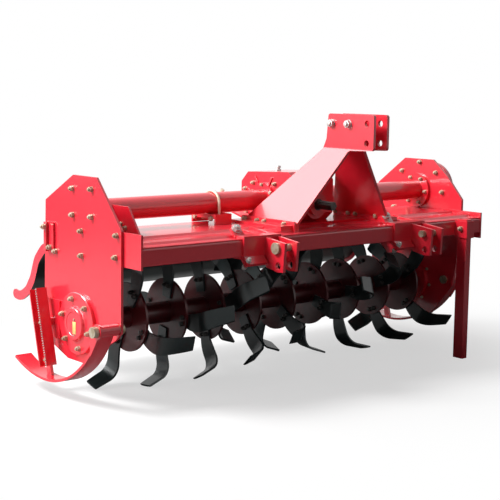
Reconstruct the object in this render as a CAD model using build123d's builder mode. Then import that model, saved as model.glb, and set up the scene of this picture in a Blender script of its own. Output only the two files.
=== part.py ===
from build123d import *
import math
import os

# Side-driven rotary tiller for a tractor's three-point hitch.
# Millimetres. +X runs towards the gear case, +Y backwards and +Z up, so the hitch faces -Y.
# The origin is on the ground, under the middle of the machine's outer box.

os.makedirs("parts", exist_ok=True)

# ------------------------------------------------------------------ driving sizes
# Places are given across from the hitch's centre line, and back and up from the rotor's axis.
working_width = 1840.0  # between the inner faces of the two end plates
hitch_offset = 85.0  # the hitch stands this far from the middle, towards the gear case
plate_wall = 10.0
swing_radius = 282.0  # circle that the blade tips sweep
shaft_gap = 0.05  # radial running clearance of every pin and shaft
seat_gap = 0.3  # between curved faces that seat on each other

# Cross tubes and gearbox
tube_radius = 43.0
tube_bore = 37.0
tube_back = -2.0
tube_up = 421.0
tube_flange_wall = 14.0
tube_flange_radius = 79.0
gearbox_half = 110.0
gearbox_wall = 14.0

# Input shaft, 1 3/8 inch with six splines
shaft_up = 412.0
journal_radius = 24.0
spline_radius = 17.45
spline_root = 14.7
spline_width = 8.6
shaft_front = -306.0

# Beam, its end brackets and the hood
beam_size = 63.0
beam_wall = 6.0
beam_front = -387.0
beam_top = 321.0
bracket_wall = 8.0
bracket_depth = 190.0
bracket_tops = (371.0, 347.0)  # left and right
bracket_lows = (246.0, 234.0)
hood_wall = 4.0
hood_step = 8.0

# Rotor
rotor_tube_radius = 42.0
rotor_tube_bore = 34.0
rotor_plug = 40.0
stub_radius = 30.0
disc_count = 9
disc_radius = 135.0
disc_wall = 10.0
left_end_space = 209.0
right_end_space = 127.0
blades_per_disc = 4  # by turns bent to the left and to the right
first_tip_angle = -75.0  # of the first disc's lowest left-hand blade, from straight back
blade_wall = 8.0
blade_bend_below = 83.0  # from the swing circle down to the start of the bend
blade_bend_radius = 60.0
blade_bend_angle = 72.0
blade_wing = 72.0  # from the bend's end to the tip
blade_tip_lag = 15.0  # degrees that the middle of the tip trails behind the shank
blade_tip_half = 6.0  # degrees to each side of that middle

# Gear case and rotor bearings
case_plate_wall = 12.0
case_depth = 92.0
case_wall = 10.0
case_rim_wall = 12.0
case_cover_wall = 6.0
case_boss_proud = 4.0
bearing_flange_radius = 120.0
bearing_flange_wall = 14.0
bearing_hub_radius = 63.0
bearing_hub_proud = 22.0
bearing_spigot_radius = 84.0

# Mast
mast_wall = 12.0
mast_gap = 62.0  # between the two head plates
mast_feet = (230.0, 286.0)  # centre line to the outer face of the left and right foot
mast_head_top = 787.0
mast_head_low = 648.0
mast_slope_low = 356.0
mast_head_front = -560.0
mast_front = -338.0  # front edge of its plates below the head
top_hole_radius = 12.75
top_hole_back = -523.0
top_hole_up = 752.0
second_hole_drop = 76.0
spacer_radius = 14.0

# Lower hitch
hitch_half = 406.0  # centre line to the middle of a clevis
lug_wall = 12.0
lug_gap = 50.0
lug_front = -509.0
pin_radius = 14.0
pin_back = -464.0
pin_up = 292.0
lower_hole_drop = 66.0
lug_heel = -298.0  # where a lug's plate goes down behind the beam
lug_slot_room = 0.5  # to each side of that plate in its slot through the hood
clamp_wall = 10.0
clamp_far = 139.0  # from the middle of a clevis to the far end of its clamp
clamp_near = 44.0  # and to the near end of its front plate
clamp_part = 12.0  # between the middles of the two slanted flanges
clamp_flange = 38.0

# Skids and their adjusters
skid_width = 70.0
skid_wall = 10.0
skid_gap = 20.0  # end plate to the skid's inner edge
skid_ear_wall = 8.0
skid_pivot_back = -260.0
skid_pivot_up = 20.0
skid_bolt_radius = 12.0
skid_head_proud = 20.0
right_skid_shift = 75.0  # the right skid sits this much further back, under the gear case
adjuster_pin_behind = 410.0  # behind and below the skid's pivot
adjuster_pin_below = 180.0
adjuster_pin_radius = 8.0
adjuster_depth = 44.0
adjuster_width = 58.0
adjuster_wall = 6.0
adjuster_above = 275.0
adjuster_below = 24.0
clamp_turn = 18.5  # degrees round the skid's pivot from the adjuster's pin to the clamp bolt

# Tail board and its hangers
tail_hinge_back = 196.0
tail_hinge_up = 267.0
tail_bolt_radius = 9.0
tail_wall = 4.0
tail_rib_wall = 6.0
tail_rib_width = 38.0
tail_side_gap = 6.0
tail_fold_back = 470.0
tail_fold_up = 32.0
tail_lip_back = 506.0
tail_lip_up = 40.0
tail_bend_radius = 80.0
hanger_across = 150.0
hanger_reach = 150.0  # from the tail board's hinge to the hanger's pin, and to its eye
hanger_pin_angle = -10.0
hanger_eye_angle = 70.0
hanger_radius = 9.0
hanger_pin_radius = 8.0
hanger_strap_wall = 8.0

# Parking leg
leg_width = 34.0
leg_depth = 54.0
leg_wall = 5.0
leg_across = 682.0
leg_top = 330.0
socket_wall = 6.0

# ------------------------------------------------------------------ worked-out places
left_inner = -(working_width / 2 + hitch_offset)
left_outer = left_inner - plate_wall
right_inner = working_width / 2 - hitch_offset
case_face = right_inner + case_plate_wall
case_cover_face = case_face + case_depth
right_outer = case_cover_face + case_cover_wall + case_boss_proud
disc_pitch = (working_width - left_end_space - right_end_space) / (disc_count - 1)
beam_rear = beam_front + beam_size
beam_bottom = beam_top - beam_size
skid_reach = skid_gap + skid_width + skid_head_proud

# The outer box sets the origin: the skid bolts' heads, the mast's head and the tail board's lip.
left_reach = -left_outer + skid_reach
right_reach = max(right_outer, case_face + skid_reach)
front_reach = -mast_head_front
rear_reach = tail_lip_back + tail_rib_width / 2
x_mid = (left_reach - right_reach) / 2
y_axis = (front_reach - rear_reach) / 2
z_axis = swing_radius


def across(x):
    """Plane facing +X at x; it sketches back and up from the rotor's axis."""
    return Plane(origin=(x_mid + x, y_axis, z_axis), x_dir=(0, 1, 0), z_dir=(1, 0, 0))


def facing_front(y):
    """Plane facing -Y at y; it sketches across and up from the hitch's centre line."""
    return Plane(origin=(x_mid, y_axis + y, z_axis), x_dir=(1, 0, 0), z_dir=(0, -1, 0))


def facing_up(z):
    """Plane facing +Z at z; it sketches across and back from the hitch's centre line."""
    return Plane(origin=(x_mid, y_axis, z_axis + z), x_dir=(1, 0, 0), z_dir=(0, 0, 1))


def along(x, place, angle):
    """Plane facing +X at x; it sketches along an angle in degrees from a place."""
    origin = across(x).from_local_coords((place[0], place[1], 0))
    turn = math.radians(angle)
    return Plane(origin=origin, x_dir=(0, math.cos(turn), math.sin(turn)), z_dir=(1, 0, 0))


def facing_along(x, place, angle):
    """Plane at a place at x that faces along an angle in degrees."""
    origin = across(x).from_local_coords((place[0], place[1], 0))
    turn = math.radians(angle)
    return Plane(origin=origin, x_dir=(1, 0, 0), z_dir=(0, math.cos(turn), math.sin(turn)))


def outline(plane, points, corner=0.0):
    """A polygon, with its corners rounded where a radius is given."""
    with BuildSketch(plane) as face:
        Polygon(*points, align=None)
        if corner:
            fillet(face.vertices(), corner)
    return face.sketch


def disc(plane, place, radius, bore=0.0):
    """A round face at a place on a plane, with a bore where one is given."""
    with BuildSketch(plane) as face:
        with Locations(place):
            Circle(radius)
            if bore:
                Circle(bore, mode=Mode.SUBTRACT)
    return face.sketch


def strip(plane, points, width, bends=0.0):
    """A band of even width along a line of points, with rounded bends."""
    with BuildSketch(plane) as face:
        with BuildLine():
            if bends:
                FilletPolyline(*points, radius=bends)
            else:
                Polyline(*points)
        trace(line_width=width)
    return face.sketch


def polar(centre, radius, angle):
    """The point at a radius and an angle in degrees round a centre."""
    turn = math.radians(angle)
    return (centre[0] + radius * math.cos(turn), centre[1] + radius * math.sin(turn))


# ------------------------------------------------------------------ left end plate
end_plate_points = [
    (37, 555),
    (-119, 555),
    (-280, 376),
    (-280, 8),
    (-245, -25),
    (-30, -147),
    (78, -147),
    (200, -105),
    (246, 100),
    (236, 447),
]
# back, up and radius of the holes that the left plate has for a bearing and two bolts
left_plate_holes = [
    (0, 0, bearing_spigot_radius),
    (skid_pivot_back, skid_pivot_up, skid_bolt_radius),
    (tail_hinge_back, tail_hinge_up, tail_bolt_radius),
]
with BuildPart() as side_plate_left:
    extrude(outline(across(left_outer), end_plate_points, 8), amount=plate_wall)
    for back, up, radius in left_plate_holes:
        hole = disc(across(left_outer), (back, up), radius + seat_gap)
        extrude(hole, amount=plate_wall, mode=Mode.SUBTRACT)
side_plate_left.part.label = "side_plate_left"
export_step(side_plate_left.part, "parts/side_plate_left.step")

# ------------------------------------------------------------------ gear case
case_plate_points = [
    (79, 566),
    (-93, 566),
    (-181, 495),
    (-271, 395),
    (-271, 205),
    (-232, -6),
    (-110, -150),
    (110, -150),
    (235, -60),
    (248, 439),
]
case_plate_holes = [
    (0, 0, bearing_spigot_radius),
    (skid_pivot_back + right_skid_shift, skid_pivot_up, skid_bolt_radius),
    (tail_hinge_back, tail_hinge_up, tail_bolt_radius),
]
with BuildPart() as gear_case_plate:
    extrude(outline(across(right_inner), case_plate_points, 10), amount=case_plate_wall)
    for back, up, radius in case_plate_holes:
        hole = disc(across(right_inner), (back, up), radius + seat_gap)
        extrude(hole, amount=case_plate_wall, mode=Mode.SUBTRACT)
gear_case_plate.part.label = "gear_case_plate"
export_step(gear_case_plate.part, "parts/gear_case_plate.step")

# back, up and radius of the case round the drive shaft, the idler gear and the rotor's shaft
case_rounds = [(tube_back, tube_up, 112.0), (0.0, 210.0, 122.0), (0.0, 0.0, 116.0)]


def case_shape(x, margin):
    """The case's outline round its three gears, larger by a margin."""
    with BuildSketch(across(x)) as face:
        for back, up, radius in case_rounds:
            with Locations((back, up)):
                Circle(radius + margin)
        make_hull()
    return face.sketch


with BuildPart() as gear_case_housing:
    extrude(case_shape(case_face, 0), amount=case_depth)
    extrude(case_shape(case_face, 16), amount=case_rim_wall)
    extrude(case_shape(case_cover_face - case_rim_wall, 14), amount=case_rim_wall)
    extrude(case_shape(case_face, -case_wall), amount=case_depth, mode=Mode.SUBTRACT)
gear_case_housing.part.label = "gear_case_housing"
export_step(gear_case_housing.part, "parts/gear_case_housing.step")

with BuildPart() as gear_case_cover:
    extrude(case_shape(case_cover_face, 14), amount=case_cover_wall)
    for back, up, radius in case_rounds:
        boss = disc(across(case_cover_face), (back, up), radius * 0.45)
        extrude(boss, amount=case_cover_wall + case_boss_proud)
gear_case_cover.part.label = "gear_case_cover"
export_step(gear_case_cover.part, "parts/gear_case_cover.step")

# ------------------------------------------------------------------ beam and its end brackets
beam_left = left_inner + bracket_wall
beam_right = right_inner - bracket_wall
with BuildPart() as front_beam:
    with BuildSketch(across(beam_left)):
        with Locations((beam_front + beam_size / 2, beam_top - beam_size / 2)):
            RectangleRounded(beam_size, beam_size, beam_wall)
            Rectangle(beam_size - 2 * beam_wall, beam_size - 2 * beam_wall, mode=Mode.SUBTRACT)
    extrude(amount=beam_right - beam_left)
front_beam.part.label = "front_beam"
export_step(front_beam.part, "parts/front_beam.step")

# side, inner face, direction, top and bottom of each bracket
bracket_rows = (
    ("left", left_inner, 1, bracket_tops[0], bracket_lows[0]),
    ("right", right_inner, -1, bracket_tops[1], bracket_lows[1]),
)
for side, inner, sign, top, low in bracket_rows:
    with BuildPart() as beam_bracket:
        bracket_points = [
            (beam_front + bracket_depth, top),
            (beam_front - 2, top),
            (beam_front - 2, low),
            (beam_front + bracket_depth, low),
        ]
        extrude(outline(across(inner), bracket_points), amount=sign * bracket_wall)
    beam_bracket.part.label = f"beam_bracket_{side}"
    export_step(beam_bracket.part, f"parts/beam_bracket_{side}.step")

# ------------------------------------------------------------------ hood
hood_line = beam_top + hood_wall / 2
hood_points = [
    (beam_front + 4, hood_line),
    (-330, hood_line),
    (-322, hood_line + hood_step),
    (-228, hood_line + hood_step),
    (-220, hood_line + 2 * hood_step),
    (60, hood_line + 2 * hood_step),
    (130, hood_line),
    (176, 296),
]
hood_left = left_inner + bracket_wall + 1
hood_right = right_inner - bracket_wall - 1
lug_starts = [
    sign * hitch_half + start
    for sign in (-1, 1)
    for start in (-lug_gap / 2 - lug_wall, lug_gap / 2)
]
with BuildPart() as hood:
    extrude(strip(across(hood_left), hood_points, hood_wall), amount=hood_right - hood_left)
    for lug_start in lug_starts:
        slot_points = [
            (beam_front, beam_bottom),
            (lug_heel + lug_slot_room, beam_bottom),
            (lug_heel + lug_slot_room, beam_top + 60),
            (beam_front, beam_top + 60),
        ]
        slot = outline(across(lug_start - lug_slot_room), slot_points)
        extrude(slot, amount=lug_wall + 2 * lug_slot_room, mode=Mode.SUBTRACT)
hood.part.label = "hood"
export_step(hood.part, "parts/hood.step")
hood_flat = hood_line + 2 * hood_step + hood_wall / 2


def below_hood(x):
    """Everything under the hood's top face, for feet that stand on it."""
    with BuildSketch(across(x)) as face:
        rear = (hood_points[-1][0], beam_bottom - 20)
        front = (hood_points[0][0], beam_bottom - 20)
        Polygon(*hood_points, rear, front, align=None)
        offset(amount=hood_wall / 2, kind=Kind.INTERSECTION)
    return face.sketch


# ------------------------------------------------------------------ cross tubes
tube_place = (tube_back, tube_up)
with BuildPart() as cross_tube_left:
    extrude(disc(across(left_inner), tube_place, tube_radius), amount=-gearbox_half - left_inner)
    with BuildSketch(across(left_inner)):
        with Locations((-25, 452)):
            RectangleRounded(168, 150, 12)
    extrude(amount=tube_flange_wall)
    gusset_points = [(-110, hood_flat), (90, hood_flat), (60, 380), (-75, 380)]
    extrude(outline(across(left_inner), gusset_points), amount=tube_flange_wall)
    extrude(disc(across(-gearbox_half), tube_place, 72), amount=-tube_flange_wall)
    through = disc(across(left_inner), tube_place, tube_bore)
    extrude(through, amount=-gearbox_half - left_inner, mode=Mode.SUBTRACT)
cross_tube_left.part.label = "cross_tube_left"
export_step(cross_tube_left.part, "parts/cross_tube_left.step")

with BuildPart() as cross_tube_right:
    extrude(disc(across(gearbox_half), tube_place, tube_radius), amount=right_inner - gearbox_half)
    extrude(disc(across(right_inner), tube_place, tube_flange_radius), amount=-tube_flange_wall)
    extrude(disc(across(gearbox_half), tube_place, 72), amount=tube_flange_wall)
    through = disc(across(gearbox_half), tube_place, tube_bore)
    extrude(through, amount=right_inner - gearbox_half, mode=Mode.SUBTRACT)
cross_tube_right.part.label = "cross_tube_right"
export_step(cross_tube_right.part, "parts/cross_tube_right.step")

# The stands that carry the tubes on the hood, and the U-bolts that hold them there
stand_stations = (-389.0, 480.0)
stand_half = 41.0
stand_wall = 8.0
bow_radius = 6.0
bow_reach = tube_radius + bow_radius + seat_gap
stand_depth = bow_reach + 29
end_stand_station = -890.0
with BuildPart() as tube_stands:
    for station in stand_stations:
        stand_points = [
            (tube_back - stand_depth, hood_flat),
            (tube_back + stand_depth, hood_flat),
            (tube_back + stand_depth, tube_up - tube_radius + 4),
            (tube_back - stand_depth, tube_up - tube_radius + 4),
        ]
        extrude(outline(across(station - stand_half), stand_points), amount=2 * stand_half)
    for station in stand_stations:
        cradle = disc(across(station - stand_half), tube_place, tube_radius + seat_gap)
        extrude(cradle, amount=2 * stand_half, mode=Mode.SUBTRACT)
        pocket_half = stand_depth - stand_wall
        pocket_points = [
            (tube_back - pocket_half, hood_flat),
            (tube_back + pocket_half, hood_flat),
            (tube_back + pocket_half, hood_flat + 22),
            (tube_back - pocket_half, hood_flat + 22),
        ]
        pocket = outline(across(station - stand_half), pocket_points)
        extrude(pocket, amount=2 * stand_half, mode=Mode.SUBTRACT)
        for leg in (tube_back - bow_reach, tube_back + bow_reach):
            with BuildSketch(facing_up(hood_flat + 10)):
                with Locations((station, leg)):
                    Circle(bow_radius + seat_gap)
            extrude(amount=60, mode=Mode.SUBTRACT)
    end_stand_points = [
        (-216, hood_flat),
        (-141, tube_up + 22),
        (tube_back, tube_up + 22),
        (tube_back + 88, hood_flat),
    ]
    extrude(outline(across(end_stand_station), end_stand_points), amount=stand_wall)
    saddle = disc(across(end_stand_station), tube_place, tube_radius + seat_gap)
    extrude(saddle, amount=stand_wall, mode=Mode.SUBTRACT)
tube_stands.part.label = "tube_stands"
export_step(tube_stands.part, "parts/tube_stands.step")

bow_low = hood_flat + 14
with BuildPart() as u_bolts:
    for station in stand_stations:
        with BuildLine(across(station)) as bow:
            Line((tube_back - bow_reach, bow_low), (tube_back - bow_reach, tube_up))
            CenterArc(tube_place, bow_reach, 0, 180)
            Line((tube_back + bow_reach, tube_up), (tube_back + bow_reach, bow_low))
        with BuildSketch(facing_up(bow_low)):
            with Locations((station, tube_back - bow_reach)):
                Circle(bow_radius)
        sweep(path=bow.wire())
    for station in stand_stations:
        for leg in (tube_back - bow_reach, tube_back + bow_reach):
            with BuildSketch(facing_up(hood_flat + 22)):
                with Locations((station, leg)):
                    Circle(11)
            extrude(amount=-8)
u_bolts.part.label = "u_bolts"
export_step(u_bolts.part, "parts/u_bolts.step")

# ------------------------------------------------------------------ gearbox and input shaft
gearbox_points = [
    (146, hood_flat),
    (146, 490),
    (104, 532),
    (-150, 545),
    (-186, 510),
    (-186, 372),
    (-150, hood_flat),
]
gearbox_front = -186.0
seal_face = gearbox_front - 16.0
nose_face = seal_face - 14.0
with BuildPart() as gearbox_housing:
    extrude(outline(across(-gearbox_half), gearbox_points, 10), amount=2 * gearbox_half)
    with BuildSketch(across(gearbox_wall - gearbox_half)) as cavity:
        Polygon(*gearbox_points, align=None)
        offset(amount=-gearbox_wall, kind=Kind.INTERSECTION)
        with Locations((-20, hood_flat + gearbox_wall)):
            Rectangle(200, 2 * gearbox_wall)
    extrude(cavity.sketch, amount=2 * (gearbox_half - gearbox_wall), mode=Mode.SUBTRACT)
    extrude(disc(facing_front(gearbox_front), (0, shaft_up), 60), amount=16)
    extrude(disc(facing_front(seal_face), (0, shaft_up), 46), amount=14)
    journal_bore = disc(facing_front(nose_face), (0, shaft_up), journal_radius + shaft_gap)
    extrude(journal_bore, amount=-44, mode=Mode.SUBTRACT)
gearbox_housing.part.label = "gearbox_housing"
export_step(gearbox_housing.part, "parts/gearbox_housing.step")

with BuildPart() as input_shaft:
    extrude(disc(facing_front(nose_face + 42), (0, shaft_up), journal_radius), amount=42)
    extrude(disc(facing_front(nose_face), (0, shaft_up), 19), amount=14)
    with BuildSketch(facing_front(nose_face - 14)):
        with Locations((0, shaft_up)):
            Circle(spline_root)
            with PolarLocations(0, 6):
                with Locations((spline_radius / 2, 0)):
                    Rectangle(spline_radius, spline_width)
    extrude(amount=nose_face - 14 - shaft_front)
input_shaft.part.label = "input_shaft"
export_step(input_shaft.part, "parts/input_shaft.step")

# ------------------------------------------------------------------ mast
mast_rear = -26.0
mast_side_points = [
    (-309, mast_head_top),
    (mast_head_front, mast_head_top),
    (mast_head_front, mast_head_low),
    (-430, mast_head_low - 4),
    (mast_front, mast_slope_low),
    (mast_front, 300),
    (mast_rear, 300),
    (mast_rear, mast_slope_low),
    (-280, mast_head_low - 4),
    (-300, mast_head_low + 40),
]
spacer_places = [(-330, top_hole_up - 4), (-424, top_hole_up - 4)]
head_mid = mast_gap / 2 + mast_wall / 2
base_wall = 10.0
for side, sign, foot_half in (("left", -1, mast_feet[0]), ("right", 1, mast_feet[1])):
    foot_mid = foot_half - mast_wall / 2
    bend_points = [
        (sign * head_mid, mast_head_top + 5),
        (sign * head_mid, mast_head_low),
        (sign * foot_mid, mast_slope_low),
        (sign * foot_mid, 295),
    ]
    with BuildPart() as mast_plate:
        extrude(strip(facing_front(mast_rear + 5), bend_points, mast_wall, 18), amount=600)
        side_view = outline(across(0), mast_side_points, 12)
        extrude(side_view, amount=sign * 300, mode=Mode.INTERSECT)
        extrude(below_hood(0), amount=sign * 300, mode=Mode.SUBTRACT)
        for up in (top_hole_up, top_hole_up - second_hole_drop):
            hole = disc(across(0), (top_hole_back, up), top_hole_radius)
            extrude(hole, amount=sign * 300, mode=Mode.SUBTRACT)
        for place in spacer_places:
            hole = disc(across(0), place, spacer_radius + seat_gap)
            extrude(hole, amount=sign * 300, mode=Mode.SUBTRACT)
    mast_plate.part.label = f"mast_plate_{side}"
    export_step(mast_plate.part, f"parts/mast_plate_{side}.step")

    with BuildPart() as mast_base:
        wall_points = [(-336, 300), (-336, 366), (-10, 366), (-10, 300)]
        extrude(outline(across(sign * foot_half), wall_points, 10), amount=sign * base_wall)
        foot_points = [
            (beam_rear, hood_line + hood_step),
            (beam_rear, hood_flat + 10),
            (-10, hood_flat + 10),
            (-10, hood_line + hood_step),
        ]
        extrude(outline(across(sign * foot_half), foot_points), amount=sign * 70)
        extrude(below_hood(0), amount=sign * 400, mode=Mode.SUBTRACT)
    mast_base.part.label = f"mast_base_{side}"
    export_step(mast_base.part, f"parts/mast_base_{side}.step")

with BuildPart() as mast_spacers:
    for place in spacer_places:
        extrude(disc(across(-head_mid - 6), place, spacer_radius), amount=2 * head_mid + 12)
        extrude(disc(across(-mast_gap / 2), place, spacer_radius + 8), amount=mast_gap)
mast_spacers.part.label = "mast_spacers"
export_step(mast_spacers.part, "parts/mast_spacers.step")

# ------------------------------------------------------------------ lower hitch
hood_rest = hood_line + hood_step + hood_wall / 2
lug_points = [
    (-229, hood_rest + 14),
    (lug_front, pin_up + 22),
    (lug_front + 8, pin_up - 88),
    (-469, pin_up - 90),
    (-408, pin_up - 79),
    (beam_front - clamp_wall - 1, pin_up - 68),
    (-312, beam_bottom - 14),
    (lug_heel, beam_bottom + 38),
    (lug_heel, hood_rest),
    (-229, hood_rest),
]
beam_section = [
    (beam_front, beam_bottom),
    (beam_rear, beam_bottom),
    (beam_rear, beam_top),
    (beam_front, beam_top),
]
# Each lug's shell goes over and before the beam, its clamp below and behind. Bolts through their
# two slanted flanges pull them together round the beam.
flange_run = clamp_flange * math.cos(math.radians(45))
shell_line = beam_front - clamp_wall / 2
shell_roof = beam_top + hood_wall + clamp_wall / 2
shell_fold = (shell_line, beam_bottom)
shell_points = [(mast_front - 3, shell_roof), (shell_line, shell_roof), shell_fold]
shell_flange = [
    (shell_line, shell_roof),
    shell_fold,
    (shell_line - flange_run, beam_bottom - flange_run),
]
clamp_line = beam_bottom - clamp_wall / 2
clamp_fold = shell_line + clamp_part * math.sqrt(2) - clamp_wall / 2
clamp_points = [
    (beam_rear + clamp_wall / 2, beam_top - 4),
    (beam_rear + clamp_wall / 2, clamp_line),
    (clamp_fold, clamp_line),
    (clamp_fold - flange_run, clamp_line - flange_run),
]
clamp_width = clamp_far - clamp_near + 1
for side, sign in (("left", -1), ("right", 1)):
    clamp_start = sign * hitch_half - clamp_far
    with BuildPart() as hitch_lug:
        shell_width = clamp_far + clamp_near
        extrude(strip(across(clamp_start), shell_points, clamp_wall), amount=shell_width)
        extrude(strip(across(clamp_start), shell_flange, clamp_wall), amount=clamp_width)
        for start in (-lug_gap / 2 - lug_wall, lug_gap / 2):
            extrude(outline(across(sign * hitch_half + start), lug_points), amount=lug_wall)
        extrude(outline(across(clamp_start), beam_section), amount=shell_width, mode=Mode.SUBTRACT)
        through_start = sign * hitch_half - lug_gap / 2 - lug_wall
        through_length = lug_gap + 2 * lug_wall
        pin_hole = disc(across(through_start), (pin_back, pin_up), pin_radius + seat_gap)
        extrude(pin_hole, amount=through_length, mode=Mode.SUBTRACT)
        low_hole = disc(across(through_start), (pin_back - 8, pin_up - lower_hole_drop), pin_radius)
        extrude(low_hole, amount=through_length, mode=Mode.SUBTRACT)
    hitch_lug.part.label = f"hitch_lug_{side}"
    export_step(hitch_lug.part, f"parts/hitch_lug_{side}.step")

    with BuildPart() as hitch_clamp:
        extrude(strip(across(clamp_start), clamp_points, clamp_wall), amount=clamp_width)
    hitch_clamp.part.label = f"hitch_clamp_{side}"
    export_step(hitch_clamp.part, f"parts/hitch_clamp_{side}.step")

pin_head_wall = 10.0
pin_end_proud = 16.0
with BuildPart() as hitch_pins:
    for sign in (-1, 1):
        head_face = sign * (hitch_half + lug_gap / 2 + lug_wall)
        pin_length = lug_gap + 2 * lug_wall + pin_end_proud
        shank = disc(across(head_face), (pin_back, pin_up), pin_radius)
        extrude(shank, amount=-sign * pin_length)
        head = disc(across(head_face), (pin_back, pin_up), pin_radius + 8)
        extrude(head, amount=sign * pin_head_wall)
hitch_pins.part.label = "hitch_pins"
export_step(hitch_pins.part, "parts/hitch_pins.step")

# ------------------------------------------------------------------ rotor bearings
with BuildPart() as rotor_bearing_left:
    extrude(disc(across(left_outer), (0, 0), bearing_flange_radius), amount=-bearing_flange_wall)
    hub_reach = bearing_flange_wall + bearing_hub_proud
    extrude(disc(across(left_outer), (0, 0), bearing_hub_radius), amount=-hub_reach)
    extrude(disc(across(left_outer), (0, 0), bearing_spigot_radius), amount=plate_wall + 16)
    stub_bore = disc(across(left_outer - 8), (0, 0), stub_radius + shaft_gap)
    extrude(stub_bore, amount=plate_wall + 24, mode=Mode.SUBTRACT)
rotor_bearing_left.part.label = "rotor_bearing_left"
export_step(rotor_bearing_left.part, "parts/rotor_bearing_left.step")

with BuildPart() as rotor_bearing_right:
    extrude(disc(across(case_face), (0, 0), bearing_spigot_radius), amount=-case_plate_wall - 16)
    stub_bore = disc(across(case_face - 2), (0, 0), stub_radius + shaft_gap)
    extrude(stub_bore, amount=-case_plate_wall - 14, mode=Mode.SUBTRACT)
rotor_bearing_right.part.label = "rotor_bearing_right"
export_step(rotor_bearing_right.part, "parts/rotor_bearing_right.step")

# ------------------------------------------------------------------ rotor
stub_gap = 2.0
rotor_left = left_inner + 16 + stub_gap
rotor_right = right_inner - 16 - stub_gap
first_disc = left_inner + left_end_space
with BuildPart() as rotor_shaft:
    extrude(disc(across(rotor_left), (0, 0), rotor_tube_radius), amount=rotor_right - rotor_left)
    hollow_length = rotor_right - rotor_left - 2 * rotor_plug
    hollow = disc(across(rotor_left + rotor_plug), (0, 0), rotor_tube_bore)
    extrude(hollow, amount=hollow_length, mode=Mode.SUBTRACT)
    extrude(disc(across(rotor_left), (0, 0), stub_radius), amount=-stub_gap - 16 - 12)
    extrude(disc(across(rotor_right), (0, 0), stub_radius), amount=stub_gap + 16 + 6)
rotor_shaft.part.label = "rotor_shaft"
export_step(rotor_shaft.part, "parts/rotor_shaft.step")

with BuildPart() as rotor_discs:
    for index in range(disc_count):
        station = first_disc + index * disc_pitch - disc_wall / 2
        ring = disc(across(station), (0, 0), disc_radius, rotor_tube_radius + seat_gap)
        extrude(ring, amount=disc_wall)
rotor_discs.part.label = "rotor_discs"
export_step(rotor_discs.part, "parts/rotor_discs.step")

# One blade, its shank up from the axis and its cutting edge towards -Y. The shank's two edges sweep
# back to the tip, which is an arc of the swing circle.
tip_middle = 90 - blade_tip_lag
tip_lead = polar((0, 0), swing_radius, tip_middle + blade_tip_half)
tip_trail = polar((0, 0), swing_radius, tip_middle - blade_tip_half)
bend_start = swing_radius - blade_bend_below


def blade_form(hand):
    """A curved blade whose wing bends to the hand's side, on the face of a disc at x = 0."""
    turn = math.radians(blade_tip_lag)
    wing_plane = Plane(origin=(0, 0, 0), x_dir=(1, 0, 0), z_dir=(0, -math.cos(turn), math.sin(turn)))
    with BuildPart() as blade:
        with BuildSketch(Plane.YZ):
            with BuildLine():
                lead_low = (-24, 62)
                lead_high = (-28, 150)
                trail_high = (30, 130)
                trail_low = (24, 62)
                Line(lead_low, lead_high)
                ThreePointArc(lead_high, (-6, swing_radius - 56), tip_lead)
                ThreePointArc(tip_lead, polar((0, 0), swing_radius, tip_middle), tip_trail)
                ThreePointArc(tip_trail, (60, swing_radius - 86), trail_high)
                Line(trail_high, trail_low)
                Line(trail_low, lead_low)
            make_face()
        extrude(amount=hand * 130)
        mid = hand * blade_wall / 2
        with BuildSketch(wing_plane):
            with BuildLine():
                shank = Line((mid, 50), (mid, bend_start))
                bend_centre = (mid + hand * blade_bend_radius, bend_start)
                first = 90 + hand * 90
                bend = CenterArc(bend_centre, blade_bend_radius, first, -hand * blade_bend_angle)
                PolarLine(bend @ 1, blade_wing, direction=bend % 1)
            trace(line_width=blade_wall)
        extrude(amount=160, both=True, mode=Mode.INTERSECT)
    return blade.part


tip_step = 180.0 / disc_count
for name, hand in (("left", -1), ("right", 1)):
    form = blade_form(hand)
    with BuildPart() as blades:
        for index in range(disc_count):
            station = first_disc + index * disc_pitch + hand * disc_wall / 2
            for turn in range(blades_per_disc // 2):
                step = 2 * turn + (hand + 1) / 2
                tip_angle = first_tip_angle - index * tip_step - step * 360 / blades_per_disc
                spin = tip_angle - tip_middle
                with Locations(Location((x_mid + station, y_axis, z_axis), (spin, 0, 0))):
                    add(form)
    blades.part.label = f"blades_{name}"
    export_step(blades.part, f"parts/blades_{name}.step")

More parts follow.
